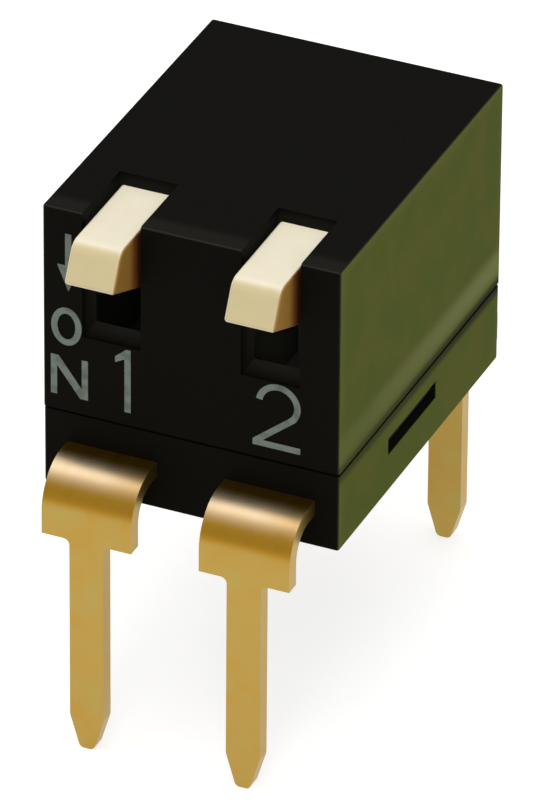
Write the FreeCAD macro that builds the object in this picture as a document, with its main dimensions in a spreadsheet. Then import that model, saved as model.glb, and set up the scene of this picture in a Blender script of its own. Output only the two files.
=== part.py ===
# Piano-style dip switch: two levers that rock out of the front of a moulded housing,
# each closing one pair of through-hole terminals.
#
# Frame: millimetres, +Z up, -Y is the front that the levers point out of, -X is position 1.
# The origin is the middle of the base's underside.
import FreeCAD
import Part
import Sketcher
import math
import os
import re

Vector = FreeCAD.Vector

# Driving dimensions in millimetres, and degrees for the swing. Each can be changed by itself.
SIZES = {
    # housing
    "body_width": 4.76,
    "body_depth": 6.06,
    "body_height": 4.78,
    "base_height": 1.34,
    "base_inset": 0.02,
    "edge_round": 0.05,
    "roof_thickness": 0.5,
    "front_wall": 0.5,
    "rear_wall": 0.5,
    "side_wall": 0.41,
    "cell_width": 1.4,
    "cell_corner": 0.15,
    "plug_height": 0.25,
    "plug_gap": 0.02,
    "parting_groove": 0.05,
    "parting_depth": 0.12,
    # distance between the two rows of pins, which the circuit board sets
    "row_spacing": 7.62,
    # lever
    "lever_width": 0.8,
    "lever_gap": 0.05,
    "lever_swing": 17.0,
    "lever_edge": 0.05,
    "slot_gap": 0.07,
    "finger_rear": 1.26,
    "finger_sink": 0.15,
    "finger_slope": 0.02,
    "finger_top_reach": 0.51,
    "finger_tip_reach": 0.8,
    "finger_tip_drop": 0.75,
    "finger_root_drop": 1.28,
    "finger_crest": 0.25,
    "pivot_setback": 3.03,
    "hub_gap": 0.1,
    "leg_depth": 0.72,
    "leg_below_hub": 0.55,
    "trunnion_radius": 0.3,
    "trunnion_end_gap": 0.04,
    "bearing_clearance": 0.03,
    "bearing_length": 0.9,
    "bearing_split": 0.02,
    "stake_radius": 0.12,
    "stake_head_radius": 0.2,
    "stake_head_height": 0.08,
    # moving contact
    "contact_thickness": 0.1,
    "contact_front": 0.43,
    "contact_rear": 0.34,
    "contact_arm_rear": 0.25,
    "contact_finger_gap": 0.165,
    "contact_hole_gap": 0.01,
    "hairpin_gap": 0.26,
    "hairpin_radius": 0.11,
    "foot_radius": 0.15,
    "foot_proud": 0.07,
    "foot_gap": 0.02,
    "well_margin": 0.1,
    # terminals
    "terminal_thickness": 0.25,
    "contact_level": 0.8,
    "shoulder_width": 1.45,
    "shoulder_drop": 0.27,
    "bend_radius": 0.45,
    "pin_width": 0.55,
    "pin_length": 3.89,
    "pin_notch": 0.1,
    "taper_length": 0.55,
    "taper_round": 0.25,
    "tip_width": 0.22,
    "tip_round": 0.09,
    "anchor_depth": 0.45,
    "tongue_gap": 0.12,
    "tongue_bite": 0.03,
    "make_point": 0.05,
    # snap joint between cover and base
    "window_front": 1.83,
    "window_length": 1.8,
    "window_bottom": 0.64,
    "window_height": 0.3,
    "snap_skin": 0.13,
    "snap_gap": 0.02,
    "snap_thickness": 0.2,
    "snap_floor": 0.05,
    "barb_reach": 0.08,
    "barb_taper": 0.06,
}

# Lengths that follow from the driving ones.
DERIVED = {
    "half_width": "body_width / 2",
    "front_face": "-body_depth / 2",
    "rear_face": "body_depth / 2",
    "roof_underside": "body_height - roof_thickness",
    "cell_front": "front_face + front_wall",
    "cell_rear": "rear_face - rear_wall",
    "half_cell": "cell_width / 2",
    "pitch": "body_width - 2 * side_wall - cell_width",
    "contact_stack": "foot_gap + foot_proud + 2 * contact_thickness + hairpin_gap",
    "hub_diameter": "roof_underside - hub_gap - leg_below_hub - contact_stack - contact_level",
    "hub_radius": "hub_diameter / 2",
    "pivot_y": "front_face + pivot_setback",
    "pivot_z": "roof_underside - hub_gap - hub_radius",
    "pivot_drop": "body_height - pivot_z",
    "lever_half": "lever_width / 2",
    "passage_half": "lever_half + lever_gap",
    "half_swing": "lever_swing / 2 * 1deg",
    "full_swing": "lever_swing * 1deg",
    "root_y": "front_wall - pivot_setback",
    "root_z": "pivot_drop - finger_root_drop",
    "root_z_when_on": "root_y * sin(full_swing) + root_z * cos(full_swing)",
    "slot_bottom": "pivot_z + root_z_when_on - slot_gap",
    "contact_radius": "pivot_z - contact_level",
    "arm_underside": "contact_radius - foot_gap - foot_proud",
    "leg_reach": "hub_radius + leg_below_hub",
    "foot_centre": "contact_radius - foot_gap - foot_radius",
    "foot_travel": "foot_centre * sin(half_swing)",
    "well_half": "contact_front + contact_radius * sin(half_swing) + well_margin",
    "pin_plane": "row_spacing / 2 + terminal_thickness / 2",
    "strip_underside": "contact_level - terminal_thickness",
    "base_front": "front_face + base_inset",
    "base_half_depth": "body_depth / 2 - base_inset",
    "taper_start": "taper_length - pin_length",
    "tongue_outer": "passage_half + tongue_bite",
    "snap_outer": "half_width - snap_skin - snap_gap",
    "snap_inner": "snap_outer - snap_thickness",
    "window_start": "front_face + window_front",
    "window_end": "window_start + window_length",
    "window_middle": "window_start + window_length / 2",
    "snap_tip": "window_bottom - snap_floor",
}

SPARE = 1.0     # how far a cut runs on past the material that it has to clear
POSITIONS = (-1, 1)
PLANES = {"XY": "XY_Plane", "XZ": "XZ_Plane", "YZ": "YZ_Plane"}

doc = FreeCAD.newDocument("piano_dip_switch")
sheet = doc.addObject("Spreadsheet::Sheet", "Sizes")


def fill_sheet():
    """Put each driving dimension in its own named cell."""
    for row, (name, value) in enumerate(SIZES.items(), 1):
        sheet.set(f"A{row}", name)
        sheet.set(f"B{row}", str(value))
        sheet.setAlias(f"B{row}", name)
    doc.recompute()


def bound(text):
    """Write a formula in size names as an expression on the sheet's cells."""
    def swap(match):
        word = match.group(0)
        if word in DERIVED:
            return "(" + bound(DERIVED[word]) + ")"
        if word in SIZES:
            return "Sizes." + word
        return word
    return re.sub(r"[a-z_]+", swap, str(text))


def value(text):
    """Work out a formula in size names."""
    result = sheet.evalExpression(bound(text))
    return float(getattr(result, "Value", result))


def new_body(name):
    """An empty body that carries the sub-part's name."""
    body = doc.addObject("PartDesign::Body", name)
    body.Label = name
    return body


def new_sketch(body, name, plane, lift="0", turn="0"):
    """A sketch on one of the body's own planes, moved along its normal and turned about it."""
    sketch = body.newObject("Sketcher::SketchObject", name)
    role = PLANES[plane]
    support = [item for item in body.Origin.OriginFeatures if item.Role == role][0]
    sketch.AttachmentSupport = [(support, "")]
    sketch.MapMode = "FlatFace"
    offset = f"placement(vector(0; 0; {bound(lift)}); rotation(vector(0; 0; 1); {bound(turn)}))"
    sketch.setExpression("AttachmentOffset", offset)
    return sketch


def hold(sketch, kind, where, formula):
    """Bind one size of a sketch to the sheet."""
    sketch.addConstraint(Sketcher.Constraint(kind, *where, value(formula)))
    sketch.setExpression(f"Constraints[{sketch.ConstraintCount - 1}]", bound(formula))


def draw_outline(sketch, corners):
    """Closed outline through corners given as x, y and, where it is rounded, a radius."""
    points = [Vector(value(corner[0]), value(corner[1]), 0) for corner in corners]
    radii = [value(corner[2]) if len(corner) > 2 else 0.0 for corner in corners]
    count = len(corners)
    along = [(points[(i + 1) % count] - points[i]).normalize() for i in range(count)]
    setback = []
    for i in range(count):
        turn = along[i - 1].getAngle(along[i])
        setback.append(radii[i] * math.tan(turn / 2))
    lines = []
    for i in range(count):
        after = (i + 1) % count
        start = points[i] + along[i] * setback[i]
        end = points[after] - along[i] * setback[after]
        lines.append(sketch.addGeometry(Part.LineSegment(start, end)))
    for i in range(count):
        before, after = lines[i - 1], lines[i]
        if radii[i]:
            apex = sketch.addGeometry(Part.Point(points[i]), True)
            place = (apex, 1)
            arc = sketch.addGeometry(corner_arc(points[i], along[i - 1], along[i], radii[i], setback[i]))
            reverse = along[i - 1].cross(along[i]).z < 0
            first, last = (2, 1) if reverse else (1, 2)
            sketch.addConstraint(Sketcher.Constraint("PointOnObject", apex, 1, before))
            sketch.addConstraint(Sketcher.Constraint("PointOnObject", apex, 1, after))
            sketch.addConstraint(Sketcher.Constraint("Tangent", before, 2, arc, first))
            sketch.addConstraint(Sketcher.Constraint("Tangent", arc, last, after, 1))
            hold(sketch, "Radius", (arc,), corners[i][2])
        else:
            place = (after, 1)
            sketch.addConstraint(Sketcher.Constraint("Coincident", before, 2, after, 1))
        hold(sketch, "DistanceX", (-1, 1) + place, corners[i][0])
        hold(sketch, "DistanceY", (-1, 1) + place, corners[i][1])


def corner_arc(apex, inward, outward, radius, setback):
    """The arc that rounds a corner between two directions of travel."""
    side = Vector(-inward.y, inward.x, 0)
    if inward.cross(outward).z < 0:
        side = side.negative()
    start = apex - inward * setback
    end = apex + outward * setback
    centre = start + side * radius
    angles = [math.atan2(point.y - centre.y, point.x - centre.x) for point in (start, end)]
    if inward.cross(outward).z < 0:
        angles.reverse()
    return Part.ArcOfCircle(Part.Circle(centre, Vector(0, 0, 1), radius), *angles)


def draw_rectangle(sketch, x_low, y_low, x_high, y_high, rounding=None):
    """Rectangle between two corners, with its own corners rounded where a radius is given."""
    extra = (rounding,) if rounding else ()
    draw_outline(sketch, [
        (x_low, y_low) + extra,
        (x_high, y_low) + extra,
        (x_high, y_high) + extra,
        (x_low, y_high) + extra,
    ])


def draw_circle(sketch, x, y, radius):
    """Circle bound to the sheet by its centre and radius."""
    centre = Vector(value(x), value(y), 0)
    circle = sketch.addGeometry(Part.Circle(centre, Vector(0, 0, 1), value(radius)))
    hold(sketch, "Radius", (circle,), radius)
    hold(sketch, "DistanceX", (-1, 1, circle, 3), x)
    hold(sketch, "DistanceY", (-1, 1, circle, 3), y)


def sweep_sketch(body, kind, sketch, length, both_ways, reverse):
    """Add (Pad) or cut (Pocket) a sketch's area over a length."""
    feature = body.newObject("PartDesign::" + kind, sketch.Name + "_" + kind.lower())
    feature.Profile = sketch
    if both_ways:
        feature.SideType = "Symmetric"
    feature.Reversed = reverse
    feature.setExpression("Length", bound(length))
    doc.recompute()
    return feature


def pad(body, sketch, length, both_ways=False, reverse=False):
    """Grow material from a sketch."""
    return sweep_sketch(body, "Pad", sketch, length, both_ways, reverse)


def pocket(body, sketch, length, both_ways=False, reverse=False):
    """Cut material away, and make sure that something went."""
    before = body.Shape.Volume
    feature = sweep_sketch(body, "Pocket", sketch, length, both_ways, reverse)
    if body.Shape.Volume > before - 1e-6:
        raise RuntimeError(feature.Name + " cuts nothing")
    return feature


def round_edges(body, feature, name, radius, wanted):
    """Fillet the edges of a feature whose middle point passes a test."""
    numbered = enumerate(feature.Shape.Edges, 1)
    names = [f"Edge{number}" for number, edge in numbered if wanted(edge.CenterOfMass)]
    fillet = body.newObject("PartDesign::Fillet", name)
    fillet.Base = (feature, names)
    fillet.setExpression("Radius", bound(radius))
    doc.recompute()
    return fillet


def cell_middle(side):
    """X of a switch position's centre line."""
    return f"{side} * pitch / 2"


def make_cover():
    """Open-bottomed cover: two cells, a slot for each lever, upper bearing ribs and snap legs."""
    body = new_body("cover")
    outline = new_sketch(body, "cover_outline", "XY", "base_height")
    draw_rectangle(outline, "-half_width", "front_face", "half_width", "rear_face")
    block = pad(body, outline, "body_height - base_height")
    lowest = value("base_height") + 1e-3
    round_edges(body, block, "cover_edges", "edge_round", lambda middle: middle.z > lowest)

    cells = new_sketch(body, "cells", "XY", "base_height")
    slots = new_sketch(body, "lever_slots", "XY", "slot_bottom")
    ribs = new_sketch(body, "bearing_ribs", "XY", "pivot_z + bearing_split / 2")
    for side in POSITIONS:
        middle = cell_middle(side)
        draw_rectangle(cells, f"{middle} - half_cell", "cell_front", f"{middle} + half_cell", "cell_rear",
                       "cell_corner")
        draw_rectangle(slots, f"{middle} - lever_half - slot_gap", f"front_face - {SPARE}",
                       f"{middle} + lever_half + slot_gap", "front_face + finger_rear + slot_gap")
        for flank in POSITIONS:
            near = f"{middle} + {flank} * passage_half"
            wall = f"{middle} + {flank} * (half_cell + cell_corner / 2)"
            low, high = (wall, near) if flank < 0 else (near, wall)
            draw_rectangle(ribs, low, "pivot_y - bearing_length / 2", high, "pivot_y + bearing_length / 2")
    pocket(body, cells, "roof_underside - base_height", reverse=True)
    pocket(body, slots, f"body_height - slot_bottom + {SPARE}", reverse=True)
    pad(body, ribs, "roof_underside - pivot_z")
    cut_bearing_seats(body, "upper_seat")

    legs = new_sketch(body, "snap_legs", "XY", "base_height")
    barbs = new_sketch(body, "snap_barbs", "XZ", "-window_middle")
    catch = "window_bottom + window_height - snap_gap"
    for side in POSITIONS:
        near, far = f"{side} * snap_inner", f"{side} * snap_outer"
        low, high = (far, near) if side < 0 else (near, far)
        draw_rectangle(legs, low, "window_start", high, "window_end")
        draw_outline(barbs, [
            (f"{side} * (snap_outer - snap_thickness / 2)", catch),
            (f"{side} * (snap_outer + barb_reach)", catch),
            (f"{side} * (snap_outer + barb_reach)", "window_bottom + window_height / 2"),
            (f"{side} * (snap_outer - snap_thickness / 2)", "snap_tip + barb_taper"),
        ])
    pad(body, legs, "base_height - snap_tip", reverse=True)
    pad(body, barbs, "window_length - 4 * snap_gap", both_ways=True)
    return body


def cut_bearing_seats(body, name):
    """Half-round seats, one on each side of each lever, for the lever's stub axles."""
    for side in POSITIONS:
        word = "left" if side < 0 else "right"
        seat = new_sketch(body, f"{name}_{word}", "YZ", cell_middle(side))
        draw_circle(seat, "pivot_y", "pivot_z", "trunnion_radius + bearing_clearance")
        pocket(body, seat, "cell_width", both_ways=True)


def make_base(terminals):
    """Base moulded round the terminals, with a contact well and two bearing posts for each lever."""
    body = new_body("base_blank")
    outline = new_sketch(body, "base_outline", "XY")
    draw_rectangle(outline, "-half_width", "-base_half_depth", "half_width", "base_half_depth")
    block = pad(body, outline, "base_height - parting_groove")
    highest = value("base_height - parting_groove") - 1e-3
    round_edges(body, block, "base_edges", "edge_round", lambda middle: middle.z < highest)

    rim = new_sketch(body, "parting_rim", "XY", "base_height - parting_groove")
    draw_rectangle(rim, "parting_depth - half_width", "parting_depth - base_half_depth",
                   "half_width - parting_depth", "base_half_depth - parting_depth")
    pad(body, rim, "parting_groove")

    plugs = new_sketch(body, "cell_plugs", "XY", "base_height")
    wells = new_sketch(body, "contact_wells", "XY", "contact_level")
    posts = new_sketch(body, "bearing_posts", "XY", "base_height + plug_height")
    for side in POSITIONS:
        middle = cell_middle(side)
        draw_rectangle(plugs, f"{middle} - half_cell + plug_gap", "cell_front + plug_gap",
                       f"{middle} + half_cell - plug_gap", "cell_rear - plug_gap", "cell_corner")
        draw_rectangle(wells, f"{middle} - passage_half", "pivot_y - well_half",
                       f"{middle} + passage_half", "pivot_y + well_half")
        for flank in POSITIONS:
            near = f"{middle} + {flank} * passage_half"
            wall = f"{middle} + {flank} * (half_cell - plug_gap)"
            low, high = (wall, near) if flank < 0 else (near, wall)
            draw_rectangle(posts, low, "pivot_y - bearing_length / 2", high, "pivot_y + bearing_length / 2")
    pad(body, plugs, "plug_height")
    pocket(body, wells, f"base_height + plug_height - contact_level + {SPARE}", reverse=True)
    pad(body, posts, "pivot_z - bearing_split / 2 - base_height - plug_height")
    cut_bearing_seats(body, "lower_seat")

    hollows = new_sketch(body, "snap_hollows", "XY", "snap_tip - snap_gap")
    windows = new_sketch(body, "snap_windows", "XZ", "-window_start")
    for side in POSITIONS:
        near = f"{side} * (snap_inner - snap_gap)"
        far = f"{side} * (snap_outer + snap_gap)"
        past = f"{side} * (half_width + {SPARE})"
        low, high = (far, near) if side < 0 else (near, far)
        draw_rectangle(hollows, low, "window_start - snap_gap", high, "window_end + snap_gap")
        low, high = (past, near) if side < 0 else (near, past)
        draw_rectangle(windows, low, "window_bottom", high, "window_bottom + window_height")
    pocket(body, hollows, f"base_height - snap_tip + {SPARE}", reverse=True)
    pocket(body, windows, "window_length")

    inserts = doc.addObject("Part::MultiFuse", "terminal_inserts")
    inserts.Shapes = terminals
    base = doc.addObject("Part::Cut", "base")
    base.Base = body
    base.Tool = inserts
    base.Label = "base"
    doc.recompute()
    return base


def make_lever(number, side):
    """Rocking lever with its finger, hub, stub axles, leg and the stake that holds its contact."""
    name = f"lever_{number}"
    body = new_body(name)
    rear = "finger_rear - pivot_setback"
    top_front = "-pivot_setback - finger_top_reach"
    tip = "-pivot_setback - finger_tip_reach"
    finger = new_sketch(body, name + "_finger", "YZ")
    draw_outline(finger, [
        (rear, "pivot_drop - finger_sink"),
        (rear, "hub_radius"),
        ("0", "hub_radius"),
        ("0", "0"),
        ("root_y", "root_z"),
        (tip, "pivot_drop - finger_tip_drop"),
        (top_front, "pivot_drop - finger_sink - finger_slope", "finger_crest"),
    ])
    blade = pad(body, finger, "lever_width", both_ways=True)
    inside = value("root_y") - 1e-3
    behind = value(rear) + 1e-3
    roof = value("hub_radius") + 1e-3

    def shows(middle):
        return middle.y < inside or (middle.y < behind and middle.z > roof)
    round_edges(body, blade, name + "_edges", "lever_edge", shows)

    hub = new_sketch(body, name + "_hub", "YZ")
    draw_circle(hub, "0", "0", "hub_radius")
    pad(body, hub, "lever_width", both_ways=True)
    leg = new_sketch(body, name + "_leg", "YZ", turn="-lever_swing / 2")
    draw_rectangle(leg, "-leg_depth / 2", "-leg_reach", "leg_depth / 2", "0")
    pad(body, leg, "lever_width", both_ways=True)
    axle = new_sketch(body, name + "_axle", "YZ")
    draw_circle(axle, "0", "0", "trunnion_radius")
    pad(body, axle, "cell_width - 2 * trunnion_end_gap", both_ways=True)

    stake = new_sketch(body, name + "_stake", "YZ", turn="-lever_swing / 2")
    draw_outline(stake, [
        ("0", "-leg_reach + stake_radius"),
        ("0", "-leg_reach - contact_thickness - stake_head_height"),
        ("stake_head_radius", "-leg_reach - contact_thickness - stake_head_height"),
        ("stake_head_radius", "-leg_reach - contact_thickness"),
        ("stake_radius", "-leg_reach - contact_thickness"),
        ("stake_radius", "-leg_reach + stake_radius"),
    ])
    spun = body.newObject("PartDesign::Revolution", name + "_stake_turned")
    spun.Profile = stake
    spun.ReferenceAxis = (stake, ["V_Axis"])
    spun.Angle = 360
    doc.recompute()
    stand_on_pivot(body, side, "0")
    return body


def make_moving_contact(number, side):
    """Hairpin leaf with two fingers, held under the lever's leg by the stake."""
    name = f"moving_contact_{number}"
    body = new_body(name)
    leaf = new_sketch(body, name + "_leaf", "YZ")
    draw_outline(leaf, [
        ("contact_rear", "-leg_reach"),
        ("-contact_front", "-leg_reach", "hairpin_radius + contact_thickness"),
        ("-contact_front", "-arm_underside", "hairpin_radius + contact_thickness"),
        ("contact_arm_rear", "-arm_underside"),
        ("contact_arm_rear", "contact_thickness - arm_underside"),
        ("contact_thickness - contact_front", "contact_thickness - arm_underside", "hairpin_radius"),
        ("contact_thickness - contact_front", "-leg_reach - contact_thickness", "hairpin_radius"),
        ("contact_rear", "-leg_reach - contact_thickness"),
    ])
    pad(body, leaf, "lever_width", both_ways=True)
    foot = new_sketch(body, name + "_foot", "YZ")
    draw_circle(foot, "0", "-foot_centre", "foot_radius")
    pad(body, foot, "lever_width", both_ways=True)
    room = new_sketch(body, name + "_foot_top", "YZ")
    draw_rectangle(room, "-foot_radius", "contact_thickness - arm_underside",
                   "foot_radius", "-leg_reach - contact_thickness")
    pocket(body, room, "lever_width", both_ways=True)
    split = new_sketch(body, name + "_fingers", "XY", "contact_thickness - arm_underside + hairpin_gap / 2")
    draw_rectangle(split, "-contact_finger_gap / 2", "contact_thickness + hairpin_radius - contact_front",
                   "contact_finger_gap / 2", f"contact_arm_rear + {SPARE}")
    pocket(body, split, "contact_thickness + foot_radius + hairpin_gap")
    hole = new_sketch(body, name + "_hole", "XY", "-leg_reach")
    draw_circle(hole, "0", "0", "stake_radius + contact_hole_gap")
    pocket(body, hole, "contact_thickness + hairpin_gap / 2")
    stand_on_pivot(body, side, "-lever_swing / 2")
    return body


def stand_on_pivot(body, side, turn):
    """Place a piece that is drawn about the lever's axle, turned about that axle."""
    place = f"vector({bound(cell_middle(side))}; {bound('pivot_y')}; {bound('pivot_z')})"
    rotation = f"rotation(vector(1; 0; 0); {bound(turn)})"
    body.setExpression("Placement", f"placement({place}; {rotation})")
    doc.recompute()


def make_terminal(name, side, row, tongue_end):
    """Stamped terminal: a tongue in the contact well, a broad bent shoulder and a tapered pin.

    It is drawn for the front row, and row is 180 degrees for the rear one.
    """
    body = new_body(name)
    past_tip = "-pin_length - terminal_thickness"
    strip = new_sketch(body, name + "_strip", "YZ")
    draw_outline(strip, [
        (tongue_end, "contact_level"),
        ("-pin_plane", "contact_level", "bend_radius + terminal_thickness"),
        ("-pin_plane", past_tip),
        ("terminal_thickness - pin_plane", past_tip),
        ("terminal_thickness - pin_plane", "strip_underside", "bend_radius"),
        (tongue_end, "strip_underside"),
    ])
    pad(body, strip, "shoulder_width", both_ways=True)

    beside_pin = new_sketch(body, name + "_pin", "XZ")
    draw_outline(beside_pin, [
        (f"-shoulder_width / 2 - {SPARE}", "-shoulder_drop"),
        ("-pin_width / 2", "-shoulder_drop", "pin_notch"),
        ("-pin_width / 2", "taper_start", "taper_round"),
        ("-tip_width / 2", "-pin_length", "tip_round"),
        ("tip_width / 2", "-pin_length", "tip_round"),
        ("pin_width / 2", "taper_start", "taper_round"),
        ("pin_width / 2", "-shoulder_drop", "pin_notch"),
        (f"shoulder_width / 2 + {SPARE}", "-shoulder_drop"),
        (f"shoulder_width / 2 + {SPARE}", f"-pin_length - {SPARE}"),
        (f"-shoulder_width / 2 - {SPARE}", f"-pin_length - {SPARE}"),
    ])
    pocket(body, beside_pin, f"body_depth + row_spacing + {SPARE}", both_ways=True)

    beside_tongue = new_sketch(body, name + "_tongue", "XY", f"contact_level + {SPARE}")
    anchor_end = "base_front + anchor_depth"
    draw_rectangle(beside_tongue, f"-shoulder_width / 2 - {SPARE}", anchor_end, "-tongue_outer",
                   f"{tongue_end} + {SPARE}")
    draw_rectangle(beside_tongue, "-tongue_gap / 2", anchor_end, f"shoulder_width / 2 + {SPARE}",
                   f"{tongue_end} + {SPARE}")
    pocket(body, beside_tongue, f"terminal_thickness + 2 * {SPARE}")
    place = f"vector({bound(cell_middle(side))}; 0; 0)"
    body.setExpression("Placement", f"placement({place}; rotation(vector(0; 0; 1); {row}))")
    doc.recompute()
    return body


def make_terminals():
    """The front terminal's tongue runs under the whole travel of one finger, the rear one's under half."""
    front_end = "pivot_y + foot_travel + foot_radius"
    rear_end = "-(pivot_y + make_point)"
    made = []
    for number, side in enumerate(POSITIONS, 1):
        made.append(make_terminal(f"front_terminal_{number}", side, 0, front_end))
        made.append(make_terminal(f"rear_terminal_{number}", side, 180, rear_end))
    return made


def check_and_write(nodes):
    """Stop at any failed object, then write each sub-part to its own file."""
    doc.recompute()
    for item in doc.Objects:
        if "Invalid" in item.State or "Error" in item.State:
            raise RuntimeError(f"{item.Name} failed: {item.State}")
    os.makedirs("parts", exist_ok=True)
    for node in nodes:
        shape = node.Shape
        if shape.isNull() or not shape.isValid():
            raise RuntimeError(node.Label + " has no valid shape")
        shape.exportStep(f"parts/{node.Label}.step")
        box = shape.BoundBox
        print(f"{node.Label}: {len(shape.Solids)} solid, {shape.Volume:.3f} mm3, "
              f"x {box.XMin:.2f} to {box.XMax:.2f}, y {box.YMin:.2f} to {box.YMax:.2f}, "
              f"z {box.ZMin:.2f} to {box.ZMax:.2f}")


fill_sheet()
terminals = make_terminals()
pieces = [make_cover(), make_base(terminals)] + terminals
for number, side in enumerate(POSITIONS, 1):
    pieces.append(make_lever(number, side))
    pieces.append(make_moving_contact(number, side))
check_and_write(pieces)
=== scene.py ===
# Looks of a piano-style dip switch: mould finish of the housing and levers, plated strip of the
# terminals and contacts, the printed legend, and the stage that shows them.
#
# Metres, +Z up, -Y is the front that the levers point out of, -X is the end of position 1.
import math

import bmesh
import bpy
from bpy.props import FloatProperty, FloatVectorProperty, PointerProperty
from mathutils import Matrix, Vector


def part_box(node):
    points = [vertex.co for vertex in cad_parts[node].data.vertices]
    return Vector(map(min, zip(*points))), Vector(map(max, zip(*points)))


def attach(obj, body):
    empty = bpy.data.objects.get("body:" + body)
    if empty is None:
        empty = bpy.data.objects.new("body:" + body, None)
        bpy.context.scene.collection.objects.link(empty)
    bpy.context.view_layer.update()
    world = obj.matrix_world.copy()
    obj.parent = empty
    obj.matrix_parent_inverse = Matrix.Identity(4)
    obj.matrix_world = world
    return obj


bl_info = {
    "name": "Piano Dip Switch",
    "version": (1, 0, 0),
    "blender": (4, 5, 0),
    "location": "View3D > Sidebar > Dip Switch",
    "description": "Finishes, legend and stage for a two-position piano-style dip switch",
    "category": "Object",
}

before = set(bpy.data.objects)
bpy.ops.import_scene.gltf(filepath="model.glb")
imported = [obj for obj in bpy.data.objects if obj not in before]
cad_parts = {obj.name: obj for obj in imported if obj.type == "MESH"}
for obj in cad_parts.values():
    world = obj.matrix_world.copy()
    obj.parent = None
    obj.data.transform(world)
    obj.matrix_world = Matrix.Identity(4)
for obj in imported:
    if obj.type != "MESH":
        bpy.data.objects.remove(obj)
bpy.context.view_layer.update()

MM = 0.001
COVER_LOW, COVER_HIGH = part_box("cover")
LEVER_TIP_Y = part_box("lever_1")[0].y
PIN_TIP_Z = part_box("front_terminal_1")[0].z
# Height of the joint between the base and the cover, and the spacing of the terminals along X.
PARTING_Z = 1.34 * MM
PITCH = 2.54 * MM
TERMINALS = ("front_terminal_1", "front_terminal_2", "rear_terminal_1", "rear_terminal_2")
CONTACTS = ("moving_contact_1", "moving_contact_2")
LEVERS = ("lever_1", "lever_2")

# The photograph's frame in pixels, and the fitted camera's target: its height on the switch's middle
# line, and the pixel that it lands on.
PHOTO_WIDTH = 548
PHOTO_HEIGHT = 804
TARGET_Z = 1.30 * MM
TARGET_PIXEL = (273.8, 344.7)
SENSOR_MM = 36.0


def colour(code):
    """Linear colour of an sRGB hex value."""
    channels = [int(code[i:i + 2], 16) / 255 for i in (1, 3, 5)]
    return [c / 12.92 if c <= 0.04045 else ((c + 0.055) / 1.055) ** 2.4 for c in channels]


def rgba(values):
    """A colour with full opacity."""
    return (*values, 1.0)


def length_setting(name, description, millimetres):
    """A length that the sidebar shows in the scene's unit."""
    return FloatProperty(name=name, description=description, default=millimetres * MM, min=0.0,
                         subtype="DISTANCE", unit="LENGTH", precision=5)


def angle_setting(name, description, degrees):
    """An angle that the sidebar shows in degrees."""
    return FloatProperty(name=name, description=description, default=math.radians(degrees),
                         subtype="ANGLE", unit="ROTATION")


def colour_setting(name, description, code):
    """A surface colour, given as an sRGB hex value."""
    return FloatVectorProperty(name=name, description=description, default=colour(code), size=3,
                               min=0.0, max=1.0, subtype="COLOR")


def share_setting(name, description, default, highest=1.0):
    """A plain number from zero up."""
    return FloatProperty(name=name, description=description, default=default, min=0.0, max=highest)


class HousingSettings(bpy.types.PropertyGroup):
    """Finish of the cover and the base."""
    black: colour_setting("Black", "Roof, front and back of the housing", "#0e0d09")
    # Painted fill light: the cells' lighter grey stands in for the light that hardly reaches them.
    inner: colour_setting("Fill Grey", "Deep inside the cells", "#605f56")
    # The end faces' olive and moss are a painted sheen of the side light on the black plastic.
    olive: colour_setting("Olive", "The two end faces", "#5c611d")
    moss: colour_setting("Moss", "Greener patches on the end faces", "#545f1c")
    # Painted highlight: the paler olive along the end faces' edges.
    painted_rim: colour_setting("Rim Highlight Olive", "Paler olive along the end faces' edges", "#686c36")
    # Painted sheen: the paler band over the joint.
    sheen_band: colour_setting("Sheen Band Olive", "Band of the end faces over the joint", "#7f834e")
    # Painted shade: the dark olive beside the joint.
    joint_shade: colour_setting("Joint Shade Olive", "Dark olive of the end faces beside the joint", "#222403")
    roughness: share_setting("Roughness", "Mean roughness of the mould finish", 0.6)
    grain: length_setting("Grain", "Spacing of the spark-eroded mould grain", 0.05)
    mottle: length_setting("Mottle", "Size of the end faces' patches", 0.8)
    rim_width: length_setting("Rim Width", "Width of the paler band along an end face's edges", 0.22)
    # Painted highlight: the greyer black of the rounded edges and the front of the roof.
    wear_and_highlight: colour_setting("Highlight Black", "Rounded edges of the black faces", "#2c2b26")


class LeverSettings(bpy.types.PropertyGroup):
    """Finish of the two levers."""
    ivory: colour_setting("Ivory", "Top and rounded edges of the levers", "#f3eacf")
    # Painted shade of the ivory: the darker, yellower front and the browns of the flanks.
    front: colour_setting("Front", "Yellower front of the levers", "#dac99a")
    flank_shade: colour_setting("Flank Shade", "Brown of the sides, in front of the wall", "#b08339")
    deep: colour_setting("Deep", "Darkest brown, in the slot", "#733e18")
    roughness: share_setting("Roughness", "Roughness of the moulded ivory", 0.45)


class MetalSettings(bpy.types.PropertyGroup):
    """Finish of the terminals and the moving contacts."""
    gold: colour_setting("Gold", "Plated strip", "#b3944b")
    pale: colour_setting("Pale Gold", "Greener patches of the plating", "#b09750")
    deep: colour_setting("Deep Gold", "Warmer patches of the plating", "#b49144")
    # Painted reflection: the deeper gold of the bends below the crown and of the flat by the housing.
    reflection_band: colour_setting("Stretched", "Stretched strip under the crown of a bend", "#ba8c2c")
    # Painted highlight: the paler gold of a bend's crown.
    crown_highlight: colour_setting("Crown Highlight", "Crown of the bends, which the die rubs paler", "#dec5a0")
    roughness: share_setting("Roughness", "Roughness of the plated strip", 0.36)
    patch: length_setting("Patch", "Size of the plating's patches", 0.5)
    streak: length_setting("Streak", "Spacing of the rolling streaks", 0.07)


class LegendSettings(bpy.types.PropertyGroup):
    """Printed marks on the front."""
    ink: colour_setting("Ink", "Grey-green printing ink", "#7a847a")
    wear_and_highlight: colour_setting("Worn Ink", "Where the ink is thin", "#666e64")
    stroke: length_setting("Stroke", "Width of a printed line", 0.1)
    film: length_setting("Film", "Thickness of the ink", 0.008)


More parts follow.
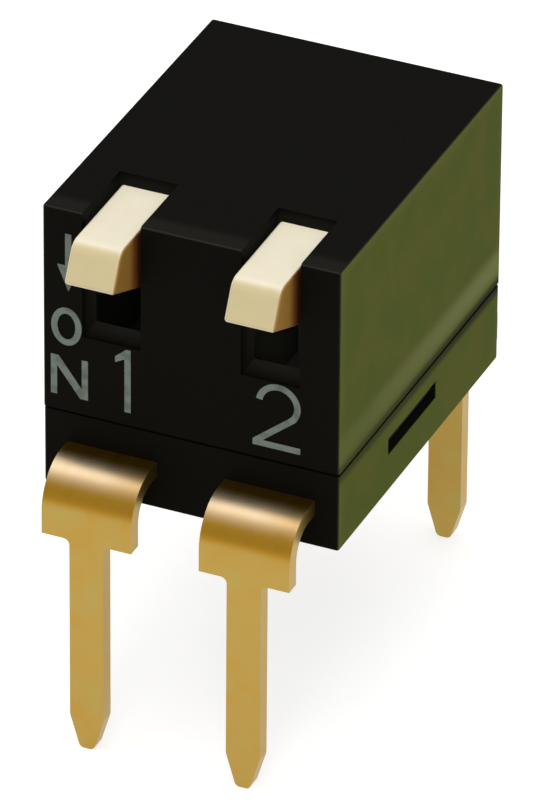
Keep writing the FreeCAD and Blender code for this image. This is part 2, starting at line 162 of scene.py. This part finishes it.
class StageSettings(bpy.types.PropertyGroup):
    """Floor, light and camera."""
    floor: colour_setting("Floor", "Pale floor", "#cbcac7")
    lift: share_setting("Lift", "How much whiter the camera and reflections see the floor", 0.65)
    overhead: share_setting("Overhead", "Strength of the light from above", 1.0, 10.0)
    horizon: share_setting("Horizon", "Strength of the light from the dim walls", 0.5, 10.0)
    azimuth: angle_setting("Azimuth", "Camera's turn round the switch", 23.596)
    elevation: angle_setting("Elevation", "Camera's height above the horizon", 31.328)
    roll: angle_setting("Roll", "Camera's tilt about its own line of sight", 0.466)
    distance: length_setting("Distance", "Camera to its target", 149.27)
    view_height: length_setting("View Height", "What the picture's height covers at the target", 11.988)


class SwitchSettings(bpy.types.PropertyGroup):
    """All settings of the switch."""
    housing: PointerProperty(name="Housing", description="Cover and base", type=HousingSettings)
    levers: PointerProperty(name="Levers", description="Rocking levers", type=LeverSettings)
    metal: PointerProperty(name="Metal", description="Terminals and contacts", type=MetalSettings)
    legend: PointerProperty(name="Legend", description="Printed marks", type=LegendSettings)
    stage: PointerProperty(name="Stage", description="Floor, light and camera", type=StageSettings)


def add_node(tree, kind, inputs=None, **settings):
    """Add a shader node with its settings.

    An input is named or numbered. It takes a value, a socket to link from, or a node, of which the
    first live output is linked.
    """
    node = tree.nodes.new("ShaderNode" + kind)
    for name, setting in settings.items():
        setattr(node, name, setting)
    for key, source in (inputs or {}).items():
        socket = next(item for number, item in enumerate(node.inputs)
                      if item.enabled and key in (number, item.name))
        if isinstance(source, bpy.types.Node):
            source = next(item for item in source.outputs if item.enabled)
        if isinstance(source, bpy.types.NodeSocket):
            tree.links.new(source, socket)
        else:
            socket.default_value = source
    return node


def new_tree(owner):
    """The emptied node tree of a material or a world."""
    owner.use_nodes = True
    owner.node_tree.nodes.clear()
    return owner.node_tree


def make_housing_plastic(settings):
    """Glass-filled PBT, injection moulded in a spark-eroded tool.

    The filler leaves it near black and matt, with a fine even grain. It turns a lighter grey with depth
    in the cells, a painted fill light where little light gets in. Its rounded edges and the front of
    its roof carry a painted highlight in a greyer black. The end faces are painted olive, softly
    mottled: a painted sheen of the side light on the black plastic, with a painted highlight paler
    along their edges. A painted sheen band runs over the joint with the base, and painted shade darkens
    the joint itself, both more so towards the back.
    """
    # How far under a flat face its colour reaches, and how strong the painted highlight on the paler
    # edges is.
    skin = 0.012 * MM
    rim_strength = 0.45
    # The painted sheen band: its middle over the joint, where it ends and where it is full, from its
    # middle.
    band_height, band_end, band_core = 0.38 * MM, 0.36 * MM, 0.05 * MM
    # The painted shade: its middle under the joint, where it ends and where it is full, from its
    # middle.
    shade_drop, shade_end, shade_core = 0.03 * MM, 0.21 * MM, 0.06 * MM
    # What is left of the painted sheen band and of the painted shade at the front.
    front_share, front_shade = 0.25, 0.55
    # Depths between which the cells turn to the painted fill grey.
    grey_start, grey_full = 0.02 * MM, 1.4 * MM
    # The painted highlight along the front of the roof, from the front face.
    roof_highlight_end, roof_highlight_core, roof_highlight_strength = 0.42 * MM, 0.2 * MM, 0.35
    roughness_swing = 0.08
    grain_height = 0.004 * MM
    material = bpy.data.materials.new("moulded_black_pbt")
    tree = new_tree(material)
    source = add_node(tree, "TexCoord").outputs
    at = add_node(tree, "SeparateXYZ", {"Vector": source["Object"]}).outputs

    outer = add_node(tree, "Math", {0: at["X"]}, operation="ABSOLUTE")
    on_end = add_node(tree, "Math", {0: outer, 1: COVER_HIGH.x - skin}, operation="GREATER_THAN")
    # Painted sheen: the end faces are painted olive, in greener random patches, in place of the black.
    blotch = add_node(tree, "TexNoise", {"Vector": source["Object"], "Scale": 1 / settings.mottle,
                                         "Detail": 3.0})
    patch = add_node(tree, "MapRange", {"Value": blotch, "From Min": 0.4, "From Max": 0.62},
                     interpolation_type="SMOOTHSTEP")
    olive = add_node(tree, "Mix", {
        "Factor": patch, "A": rgba(settings.olive), "B": rgba(settings.moss),
    }, data_type="RGBA")

    across = add_node(tree, "Math", {0: at["Y"]}, operation="ABSOLUTE")
    to_corner = add_node(tree, "Math", {0: COVER_HIGH.y, 1: across}, operation="SUBTRACT")
    to_roof = add_node(tree, "Math", {0: COVER_HIGH.z, 1: at["Z"]}, operation="SUBTRACT")
    to_seam = add_node(tree, "Math", {0: at["Z"], 1: PARTING_Z}, operation="SUBTRACT")
    nearest = add_node(tree, "Math", {0: to_corner, 1: to_roof}, operation="MINIMUM")
    # Painted highlight: the end faces turn paler olive near their front, back and top edges.
    painted_rim = add_node(tree, "MapRange", {
        "Value": nearest, "From Min": settings.rim_width, "From Max": settings.rim_width / 4,
        "To Max": rim_strength,
    }, interpolation_type="SMOOTHSTEP")
    end = add_node(tree, "Mix", {"Factor": painted_rim, "A": olive, "B": rgba(settings.painted_rim)},
                   data_type="RGBA")
    more_behind = add_node(tree, "MapRange", {
        "Value": at["Y"], "From Min": COVER_LOW.y, "From Max": COVER_HIGH.y, "To Min": front_share,
    })
    # Painted sheen: a paler band over the joint, stronger towards the back.
    off_band = add_node(tree, "Math", {0: to_seam, 1: band_height}, operation="SUBTRACT")
    off_band = add_node(tree, "Math", {0: off_band}, operation="ABSOLUTE")
    sheen_band = add_node(tree, "MapRange", {
        "Value": off_band, "From Min": band_end, "From Max": band_core,
    }, interpolation_type="SMOOTHSTEP")
    sheen_band = add_node(tree, "Math", {0: sheen_band, 1: more_behind}, operation="MULTIPLY")
    end = add_node(tree, "Mix", {"Factor": sheen_band, "A": end, "B": rgba(settings.sheen_band)},
                   data_type="RGBA")
    # Painted shade: darker olive at the joint, stronger towards the back.
    off_seam = add_node(tree, "Math", {0: to_seam, 1: shade_drop}, operation="ADD")
    off_seam = add_node(tree, "Math", {0: off_seam}, operation="ABSOLUTE")
    joint_shade = add_node(tree, "MapRange", {
        "Value": off_seam, "From Min": shade_end, "From Max": shade_core,
    }, interpolation_type="SMOOTHSTEP")
    shade_share = add_node(tree, "MapRange", {"Value": more_behind, "To Min": front_shade})
    joint_shade = add_node(tree, "Math", {0: joint_shade, 1: shade_share}, operation="MULTIPLY")
    end = add_node(tree, "Mix", {"Factor": joint_shade, "A": end, "B": rgba(settings.joint_shade)},
                   data_type="RGBA")

    # Painted fill light: the black turns a lighter grey with depth inside the cells.
    to_end = add_node(tree, "Math", {0: COVER_HIGH.x, 1: outer}, operation="SUBTRACT")
    depth = add_node(tree, "Math", {0: nearest, 1: to_end}, operation="MINIMUM")
    inside = add_node(tree, "MapRange", {
        "Value": depth, "From Min": grey_start, "From Max": grey_full,
    })
    dark = add_node(tree, "Mix", {
        "Factor": inside, "A": rgba(settings.black), "B": rgba(settings.inner),
    }, data_type="RGBA")
    # Painted highlight: rounded edges and the front of the roof turn a greyer black.
    lean = add_node(tree, "VectorMath", {0: source["Normal"]}, operation="ABSOLUTE")
    lean = add_node(tree, "SeparateXYZ", {"Vector": lean}).outputs
    flattest = add_node(tree, "Math", {0: lean["X"], 1: lean["Y"]}, operation="MAXIMUM")
    flattest = add_node(tree, "Math", {0: flattest, 1: lean["Z"]}, operation="MAXIMUM")
    rounded = add_node(tree, "MapRange", {"Value": flattest, "From Min": 0.98, "From Max": 0.8},
                       interpolation_type="SMOOTHSTEP")
    behind = add_node(tree, "Math", {0: at["Y"], 1: COVER_LOW.y}, operation="SUBTRACT")
    by_front = add_node(tree, "MapRange", {
        "Value": behind, "From Min": roof_highlight_end, "From Max": roof_highlight_core,
    }, interpolation_type="SMOOTHSTEP")
    on_roof = add_node(tree, "Math", {0: to_roof, 1: skin}, operation="LESS_THAN")
    roof_highlight = add_node(tree, "Math", {0: by_front, 1: on_roof}, operation="MULTIPLY")
    roof_highlight = add_node(tree, "Math", {0: roof_highlight, 1: roof_highlight_strength}, operation="MULTIPLY")
    edge_highlight = add_node(tree, "Math", {0: rounded, 1: roof_highlight}, operation="MAXIMUM")
    dark = add_node(tree, "Mix", {"Factor": edge_highlight, "A": dark, "B": rgba(settings.wear_and_highlight)},
                    data_type="RGBA")
    finished = add_node(tree, "Mix", {"Factor": on_end, "A": dark, "B": end}, data_type="RGBA")

    grain = add_node(tree, "TexNoise", {"Vector": source["Object"], "Scale": 1 / settings.grain,
                                        "Detail": 3.0})
    gloss = add_node(tree, "MapRange", {
        "Value": grain, "To Min": settings.roughness - roughness_swing,
        "To Max": settings.roughness + roughness_swing,
    })
    relief = add_node(tree, "Bump", {"Height": grain, "Distance": grain_height})
    shader = add_node(tree, "BsdfPrincipled", {
        "Base Color": finished, "Roughness": gloss, "Normal": relief, "IOR": 1.5,
        "Specular IOR Level": 0.03,
    })
    add_node(tree, "OutputMaterial", {"Surface": shader})
    return material


def make_lever_ivory(settings):
    """Ivory PBT, injection moulded in a polished tool.

    It is smooth and faintly glossy. The flat front is painted a darker, yellower ivory than the top, as
    painted shade. The flanks carry painted shade, brown and darkening towards the slot. The +X flank's
    painted shade reaches over its rounded edges, while the left rounded edges keep the pale ivory as if
    lit from the left.
    """
    front_slope = math.radians(25)
    # The painted shade on the flanks deepens over the last third of the way from the tip to the wall.
    wall = COVER_LOW.y
    flank_shade_start = LEVER_TIP_Y * 0.35 + wall * 0.65
    # Size of the shade's drift, as the plastic flowed, and the polish's ripple.
    flow = 0.3 * MM
    ripple_width, ripple_height = 0.08 * MM, 0.002 * MM
    material = bpy.data.materials.new("moulded_ivory_pbt")
    tree = new_tree(material)
    source = add_node(tree, "TexCoord").outputs
    at = add_node(tree, "SeparateXYZ", {"Vector": source["Object"]}).outputs
    facing = add_node(tree, "SeparateXYZ", {"Vector": source["Normal"]}).outputs

    # Painted shade: the faces that look forward get the darker, yellower front colour.
    forward = Vector((0.0, -math.cos(front_slope), math.sin(front_slope)))
    ahead = add_node(tree, "VectorMath", {0: source["Normal"], 1: forward}, operation="DOT_PRODUCT")
    on_front = add_node(tree, "MapRange", {
        "Value": ahead.outputs["Value"], "From Min": 0.7, "From Max": 0.97,
    }, interpolation_type="SMOOTHSTEP")
    upper = add_node(tree, "Mix", {
        "Factor": on_front, "A": rgba(settings.ivory), "B": rgba(settings.front),
    }, data_type="RGBA")

    # Painted shade on the flanks, deeper towards the wall; on -X only the flat side, so its edges stay
    # pale.
    on_right = add_node(tree, "MapRange", {"Value": facing["X"], "From Min": 0.3, "From Max": 0.8},
                        interpolation_type="SMOOTHSTEP")
    on_left = add_node(tree, "MapRange", {"Value": facing["X"], "From Min": -0.9, "From Max": -0.99},
                       interpolation_type="SMOOTHSTEP")
    on_flank = add_node(tree, "Math", {0: on_right, 1: on_left}, operation="MAXIMUM")
    inward = add_node(tree, "MapRange", {"Value": at["Y"], "From Min": flank_shade_start, "From Max": wall},
                      interpolation_type="SMOOTHSTEP")
    brown = add_node(tree, "Mix", {
        "Factor": inward, "A": rgba(settings.flank_shade), "B": rgba(settings.deep),
    }, data_type="RGBA")
    body = add_node(tree, "Mix", {"Factor": on_flank, "A": upper, "B": brown}, data_type="RGBA")

    speckle = add_node(tree, "TexNoise", {"Vector": source["Object"], "Scale": 1 / flow, "Detail": 3.0})
    shade = add_node(tree, "MapRange", {"Value": speckle, "To Min": 0.95, "To Max": 1.04})
    finished = add_node(tree, "HueSaturation", {"Color": body, "Value": shade})
    ripple = add_node(tree, "TexNoise", {"Vector": source["Object"], "Scale": 1 / ripple_width,
                                         "Detail": 2.0})
    relief = add_node(tree, "Bump", {"Height": ripple, "Distance": ripple_height})
    shader = add_node(tree, "BsdfPrincipled", {
        "Base Color": finished, "Roughness": settings.roughness, "Normal": relief, "IOR": 1.5,
        "Subsurface Weight": 0.1, "Subsurface Radius": (1.0, 0.8, 0.5), "Subsurface Scale": 0.15 * MM,
    })
    add_node(tree, "OutputMaterial", {"Surface": shader})
    return material


def make_plated_strip(settings):
    """Copper-alloy strip, rolled, stamped, bent and gold-plated.

    The satin gold shows what is near it in soft bands, and its shade drifts in patches. The crown of a
    bend carries a painted highlight, a paler gold, weaker towards a terminal's +X edge, and the rest of
    the bend and the flat by the housing carry a painted reflection of the dim surroundings, a deeper
    gold.
    Rolling leaves streaks along the strip. Real ones are finer than a picture shows, so they are drawn
    coarser.
    """
    # How much of the crown's painted highlight is left at a terminal's +X edge.
    weakest_highlight = 0.55
    # The streaks are drawn out 20 times along the strip, in Y and Z.
    streak_draw = (1.0, 0.05, 0.05)
    roughness_swing = 0.05
    streak_height = 0.001 * MM
    material = bpy.data.materials.new("gold_plated_strip")
    tree = new_tree(material)
    source = add_node(tree, "TexCoord").outputs
    blotch = add_node(tree, "TexNoise", {"Vector": source["Object"], "Scale": 1 / settings.patch,
                                         "Detail": 2.0})
    pale = add_node(tree, "MapRange", {"Value": blotch, "From Min": 0.52, "From Max": 0.68},
                    interpolation_type="SMOOTHSTEP")
    warm = add_node(tree, "MapRange", {"Value": blotch, "From Min": 0.48, "From Max": 0.32},
                    interpolation_type="SMOOTHSTEP")
    body = add_node(tree, "Mix", {"Factor": pale, "A": rgba(settings.gold), "B": rgba(settings.pale)},
                    data_type="RGBA")
    body = add_node(tree, "Mix", {"Factor": warm, "A": body, "B": rgba(settings.deep)},
                    data_type="RGBA")

    # The normal's Z says where on a bend a point is: 0 on the leg, 1 on the flat by the housing.
    facing = add_node(tree, "SeparateXYZ", {"Vector": source["Normal"]}).outputs
    # Painted reflection: above the leg, the strip turns the deeper band gold of the dim surroundings.
    off_leg = add_node(tree, "MapRange", {"Value": facing["Z"], "From Min": 0.14, "From Max": 0.34},
                       interpolation_type="SMOOTHSTEP")
    body = add_node(tree, "Mix", {"Factor": off_leg, "A": body, "B": rgba(settings.reflection_band)},
                    data_type="RGBA")
    # Painted highlight on the crown of a bend, weaker towards each terminal's +X edge.
    on_crown = add_node(tree, "MapRange", {"Value": facing["Z"], "From Min": 0.55, "From Max": 0.9},
                        interpolation_type="SMOOTHSTEP")
    off_flat = add_node(tree, "MapRange", {"Value": facing["Z"], "From Min": 0.9995, "From Max": 0.985},
                        interpolation_type="SMOOTHSTEP")
    on_bend = add_node(tree, "Math", {0: on_crown, 1: off_flat}, operation="MULTIPLY")
    across = add_node(tree, "SeparateXYZ", {"Vector": source["Object"]}).outputs["X"]
    across = add_node(tree, "Math", {0: across, 1: PITCH}, operation="DIVIDE")
    across = add_node(tree, "Math", {0: across}, operation="FRACT")
    highlight_share = add_node(tree, "MapRange", {
        "Value": across, "From Min": 0.5, "From Max": 0.78, "To Min": 1.0, "To Max": weakest_highlight,
    }, interpolation_type="SMOOTHSTEP")
    on_bend = add_node(tree, "Math", {0: on_bend, 1: highlight_share}, operation="MULTIPLY")
    body = add_node(tree, "Mix", {"Factor": on_bend, "A": body, "B": rgba(settings.crown_highlight)},
                    data_type="RGBA")

    drawn_out = add_node(tree, "Mapping", {"Vector": source["Object"], "Scale": streak_draw})
    streaks = add_node(tree, "TexNoise", {"Vector": drawn_out, "Scale": 1 / settings.streak,
                                          "Detail": 3.0})
    satin = add_node(tree, "MapRange", {
        "Value": streaks, "To Min": settings.roughness - roughness_swing,
        "To Max": settings.roughness + roughness_swing,
    })
    relief = add_node(tree, "Bump", {"Height": streaks, "Distance": streak_height})
    shader = add_node(tree, "BsdfPrincipled", {
        "Base Color": body, "Metallic": 1.0, "Roughness": satin, "Normal": relief,
    })
    add_node(tree, "OutputMaterial", {"Surface": shader})
    return material


def make_ink(settings):
    """Pad-printing ink: a thin matt film that thins out in soft patches."""
    material = bpy.data.materials.new("printed_grey_ink")
    tree = new_tree(material)
    source = add_node(tree, "TexCoord").outputs
    spread = 0.2 * MM
    cover = add_node(tree, "TexNoise", {"Vector": source["Object"], "Scale": 1 / spread, "Detail": 2.0})
    thin = add_node(tree, "MapRange", {"Value": cover, "From Min": 0.45, "From Max": 0.7},
                    interpolation_type="SMOOTHSTEP")
    body = add_node(tree, "Mix", {"Factor": thin, "A": rgba(settings.ink), "B": rgba(settings.wear_and_highlight)},
                    data_type="RGBA")
    shader = add_node(tree, "BsdfPrincipled", {
        "Base Color": body, "Roughness": 0.8, "Specular IOR Level": 0.2,
    })
    add_node(tree, "OutputMaterial", {"Surface": shader})
    return material


def dress(names, material):
    """Give CAD nodes a material in place of the one that they came with."""
    for name in names:
        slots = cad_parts[name].material_slots
        if not slots:
            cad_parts[name].data.materials.append(material)
        for slot in slots:
            slot.material = material


class SWITCH_OT_housing(bpy.types.Operator):
    """Give the cover and the base their mould finish"""
    bl_idname = "switch.housing"
    bl_label = "Housing"

    def execute(self, context):
        dress(("cover", "base"), make_housing_plastic(context.scene.dip_switch.housing))
        return {"FINISHED"}


class SWITCH_OT_levers(bpy.types.Operator):
    """Give both levers their ivory finish"""
    bl_idname = "switch.levers"
    bl_label = "Levers"

    def execute(self, context):
        dress(LEVERS, make_lever_ivory(context.scene.dip_switch.levers))
        return {"FINISHED"}


class SWITCH_OT_metal(bpy.types.Operator):
    """Give the terminals and the moving contacts their plating"""
    bl_idname = "switch.metal"
    bl_label = "Terminals and Contacts"

    def execute(self, context):
        dress(TERMINALS + CONTACTS, make_plated_strip(context.scene.dip_switch.metal))
        return {"FINISHED"}


def add_piece(name, builder, material):
    """Turn a bmesh into an object of the scene, with its material."""
    mesh = bpy.data.meshes.new(name)
    builder.to_mesh(mesh)
    builder.free()
    mesh.materials.append(material)
    piece = bpy.data.objects.new(name, mesh)
    bpy.context.scene.collection.objects.link(piece)
    return piece


def flat_outline(builder, corners):
    """A flat face on the front, through corners given as x and z in millimetres."""
    verts = [builder.verts.new((x * MM, COVER_LOW.y, z * MM)) for x, z in corners]
    return builder.faces.new(verts)


def draw_arrow(builder, stroke):
    """An arrow pointing down to ON."""
    x, tip, root, top = -1.96, 3.40, 3.83, 4.37
    half_head = 0.18
    flat_outline(builder, [
        (x, tip), (x + half_head, root), (x + stroke / 2, root), (x + stroke / 2, top),
        (x - stroke / 2, top), (x - stroke / 2, root), (x - half_head, root),
    ])


def draw_letter_o(builder, stroke):
    """The O of ON: an oval whose edge is extruded inwards."""
    x, z, width, height = -1.995, 2.79, 0.49, 0.64
    outer = bmesh.ops.create_circle(builder, segments=48, radius=1.0)["verts"]
    edges = list({edge for vert in outer for edge in vert.link_edges})
    made = bmesh.ops.extrude_edge_only(builder, edges=edges)["geom"]
    inner = [item for item in made if isinstance(item, bmesh.types.BMVert)]
    stand = Matrix.Translation((x * MM, COVER_LOW.y, z * MM)) @ Matrix.Rotation(math.pi / 2, 4, "X")
    for verts, inset in ((outer, 0.0), (inner, stroke)):
        half_size = ((width / 2 - inset) * MM, (height / 2 - inset) * MM, 1.0)
        bmesh.ops.scale(builder, vec=half_size, verts=verts)
        bmesh.ops.transform(builder, matrix=stand, verts=verts)


def draw_letter_n(builder, stroke):
    """The N of ON: two posts and a diagonal, drawn as one outline."""
    left, right, low, high = -2.25, -1.65, 1.6, 2.27
    slant = stroke * 1.25
    crotch = slant * 1.35
    flat_outline(builder, [
        (left, low), (left + stroke, low), (left + stroke, high - crotch),
        (right - slant, low), (right, low), (right, high), (right - stroke, high),
        (right - stroke, low + crotch), (left + slant, high), (left, high),
    ])


def draw_number_1(builder, stroke):
    """The figure 1, with a slanting flag."""
    x, low, high = -1.01, 1.56, 2.63
    flag = 0.15
    crotch = stroke * 1.7
    flat_outline(builder, [
        (x - stroke / 2, low), (x + stroke / 2, low), (x + stroke / 2, high), (x - stroke / 4, high),
        (x - stroke / 2 - flag, high - flag), (x - stroke / 2 - flag, high - flag - stroke),
        (x - stroke / 2, high - crotch),
    ])


def draw_number_2(builder, stroke):
    """The figure 2: a spun arch, a straight neck and a foot."""
    left, right, low, high = 1.0, 1.76, 1.54, 2.65
    radius = 0.355
    neck_width = stroke * 1.55
    centre = Vector(((right - radius) * MM, COVER_LOW.y, (high - radius) * MM))
    start = math.radians(172)
    sweep = math.radians(212)
    ends = []
    for reach in (radius, radius - stroke):
        offset = Vector((math.cos(start), 0.0, math.sin(start))) * reach * MM
        ends.append(builder.verts.new(centre + offset))
    edge = builder.edges.new(ends)
    spun = bmesh.ops.spin(builder, geom=[edge] + ends, cent=centre, axis=(0, 1, 0), angle=sweep,
                          steps=26)
    last = [item for item in spun["geom_last"] if isinstance(item, bmesh.types.BMEdge)]
    made = bmesh.ops.extrude_edge_only(builder, edges=last)
    verts = sorted((item for item in made["geom"] if isinstance(item, bmesh.types.BMVert)),
                   key=lambda vert: vert.co.x)
    verts[0].co = (left * MM, COVER_LOW.y, (low + stroke) * MM)
    verts[1].co = ((left + neck_width) * MM, COVER_LOW.y, (low + stroke) * MM)
    flat_outline(builder, [(left, low), (right, low), (right, low + stroke), (left, low + stroke)])
    bmesh.ops.remove_doubles(builder, verts=builder.verts, dist=1e-7)


MARKS = {
    "legend_arrow": draw_arrow,
    "legend_letter_o": draw_letter_o,
    "legend_letter_n": draw_letter_n,
    "legend_number_1": draw_number_1,
    "legend_number_2": draw_number_2,
}


def thicken(builder, film):
    """Give flat marks on the front the thickness of the ink, towards the viewer."""
    bmesh.ops.recalc_face_normals(builder, faces=builder.faces)
    made = bmesh.ops.extrude_face_region(builder, geom=builder.faces[:])
    raised = [item for item in made["geom"] if isinstance(item, bmesh.types.BMVert)]
    bmesh.ops.translate(builder, vec=(0.0, -film, 0.0), verts=raised)
    bmesh.ops.recalc_face_normals(builder, faces=builder.faces)


class SWITCH_OT_legend(bpy.types.Operator):
    """Print the position numbers and the ON mark on the front"""
    bl_idname = "switch.legend"
    bl_label = "Legend"

    def execute(self, context):
        settings = context.scene.dip_switch.legend
        ink = make_ink(settings)
        for name, draw in MARKS.items():
            builder = bmesh.new()
            draw(builder, settings.stroke / MM)
            thicken(builder, settings.film)
            mark = add_piece(name, builder, ink)
            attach(mark, "housing")
        return {"FINISHED"}


def seen_directly(tree):
    """1 for rays from the camera, reflections and refractions, and 0 for diffuse light."""
    path = add_node(tree, "LightPath").outputs
    mirrored = add_node(tree, "Math", {0: path["Is Glossy Ray"], 1: path["Is Transmission Ray"]},
                        operation="MAXIMUM")
    return add_node(tree, "Math", {0: path["Is Camera Ray"], 1: mirrored}, operation="MAXIMUM")


def make_floor_material(settings):
    """Matt pale laminate. The camera and the reflections see it nearly white."""
    material = bpy.data.materials.new("matt_pale_laminate")
    tree = new_tree(material)
    base = add_node(tree, "BsdfDiffuse", {"Color": rgba(settings.floor)})
    lift = add_node(tree, "Math", {0: seen_directly(tree), 1: settings.lift}, operation="MULTIPLY")
    glow = add_node(tree, "Emission", {"Color": (1.0, 1.0, 1.0, 1.0), "Strength": lift})
    total = add_node(tree, "AddShader", {0: base, 1: glow})
    add_node(tree, "OutputMaterial", {"Surface": total})
    return material


def light_world(settings):
    """Light from all round, weaker from the dim walls, with a white surround for the camera.

    The limits are the rise of a ray above the horizon: 0 is level and 1 is straight up.
    """
    world = bpy.data.worlds.new("studio_surround")
    bpy.context.scene.world = world
    tree = new_tree(world)
    dim_below, bright_above = 0.7, 0.9
    upward = add_node(tree, "SeparateXYZ", {"Vector": add_node(tree, "TexCoord").outputs["Generated"]})
    rise = add_node(tree, "MapRange", {
        "Value": upward.outputs["Z"], "From Min": dim_below, "From Max": bright_above,
        "To Min": settings.horizon, "To Max": settings.overhead,
    }, interpolation_type="SMOOTHSTEP")
    soft = add_node(tree, "Background", {"Strength": rise})
    bright = add_node(tree, "Background", {"Strength": 1.0})
    for backdrop in (soft, bright):
        backdrop.inputs["Color"].default_value = (1.0, 1.0, 1.0, 1.0)
    camera_sees = add_node(tree, "LightPath").outputs["Is Camera Ray"]
    both = add_node(tree, "MixShader", {0: camera_sees, 1: soft, 2: bright})
    add_node(tree, "OutputWorld", {"Surface": both})


def direction(azimuth, elevation):
    """The way from the switch to a camera or lamp. Azimuth 0 is in front, 90 at the +X end."""
    flat = math.cos(elevation)
    return Vector((math.sin(azimuth) * flat, -math.cos(azimuth) * flat, math.sin(elevation)))


def add_softbox(name, azimuth, elevation, distance, size, watts):
    """A square area lamp that faces the switch. Angles are in degrees, and lengths in metres."""
    lamp = bpy.data.lights.new(name, "AREA")
    lamp.size = size
    lamp.energy = watts
    holder = bpy.data.objects.new(name, lamp)
    bpy.context.scene.collection.objects.link(holder)
    back = direction(math.radians(azimuth), math.radians(elevation))
    holder.location = back * distance
    holder.rotation_euler = back.to_track_quat("Z", "Y").to_euler()


def add_camera(settings):
    """The camera fitted to the photograph's edges, turned to its frame's middle instead of shifted."""
    back = direction(settings.azimuth, settings.elevation)
    level = Vector((math.cos(settings.azimuth), math.sin(settings.azimuth), 0.0))
    upright = back.cross(level)
    right = level * math.cos(settings.roll) + upright * math.sin(settings.roll)
    up = upright * math.cos(settings.roll) - level * math.sin(settings.roll)
    target = Vector((0.0, 0.0, TARGET_Z))
    pixel = settings.view_height / PHOTO_HEIGHT
    middle = target + right * (PHOTO_WIDTH / 2 - TARGET_PIXEL[0]) * pixel
    middle -= up * (PHOTO_HEIGHT / 2 - TARGET_PIXEL[1]) * pixel
    data = bpy.data.cameras.new("photo_camera")
    data.sensor_width = SENSOR_MM
    data.sensor_fit = "AUTO"
    data.lens = SENSOR_MM * settings.distance / settings.view_height
    data.clip_start = 10 * MM
    data.clip_end = 10.0
    camera = bpy.data.objects.new("photo_camera", data)
    bpy.context.scene.collection.objects.link(camera)
    place = target + back * settings.distance
    forward = (place - middle).normalized()
    across = up.cross(forward).normalized()
    turn = Matrix((across, forward.cross(across), forward)).transposed().to_4x4()
    camera.matrix_world = Matrix.Translation(place) @ turn
    bpy.context.scene.camera = camera


class SWITCH_OT_stage(bpy.types.Operator):
    """Lay the floor, hang the lamps and set up the camera"""
    bl_idname = "switch.stage"
    bl_label = "Stage"

    def execute(self, context):
        settings = context.scene.dip_switch.stage
        floor_half = 1.5
        gap = 0.01 * MM
        builder = bmesh.new()
        bmesh.ops.create_grid(builder, x_segments=1, y_segments=1, size=floor_half)
        bmesh.ops.translate(builder, vec=(0.0, 0.0, PIN_TIP_Z - gap), verts=builder.verts)
        floor = add_piece("floor", builder, make_floor_material(settings))
        light_world(settings)
        add_softbox("key_softbox", azimuth=-30, elevation=86, distance=0.12, size=0.09, watts=0.03)
        add_softbox("fill_softbox", azimuth=16, elevation=36, distance=0.12, size=0.05, watts=0.03)
        add_camera(settings)
        context.scene.view_settings.view_transform = "Standard"
        return {"FINISHED"}


class SWITCH_PT_panel(bpy.types.Panel):
    """Sidebar panel with each step's settings and its button"""
    bl_idname = "SWITCH_PT_panel"
    bl_label = "Piano Dip Switch"
    bl_space_type = "VIEW_3D"
    bl_region_type = "UI"
    bl_category = "Dip Switch"

    def draw(self, context):
        for step in STEPS:
            group = getattr(context.scene.dip_switch, step.bl_idname.partition(".")[2])
            box = self.layout.box()
            for name in type(group).__annotations__:
                box.prop(group, name)
            box.operator(step.bl_idname)


STEPS = (SWITCH_OT_housing, SWITCH_OT_levers, SWITCH_OT_metal, SWITCH_OT_legend, SWITCH_OT_stage)
CLASSES = (HousingSettings, LeverSettings, MetalSettings, LegendSettings, StageSettings, SwitchSettings,
           *STEPS, SWITCH_PT_panel)


def register():
    for item in CLASSES:
        bpy.utils.register_class(item)
    bpy.types.Scene.dip_switch = PointerProperty(
        name="Dip Switch", description="Settings of the dip switch", type=SwitchSettings)


def unregister():
    del bpy.types.Scene.dip_switch
    for item in reversed(CLASSES):
        bpy.utils.unregister_class(item)


def main():
    """Run every step in order."""
    register()
    bpy.ops.switch.housing()
    bpy.ops.switch.levers()
    bpy.ops.switch.metal()
    bpy.ops.switch.legend()
    bpy.ops.switch.stage()


if __name__ == "__main__":
    main()
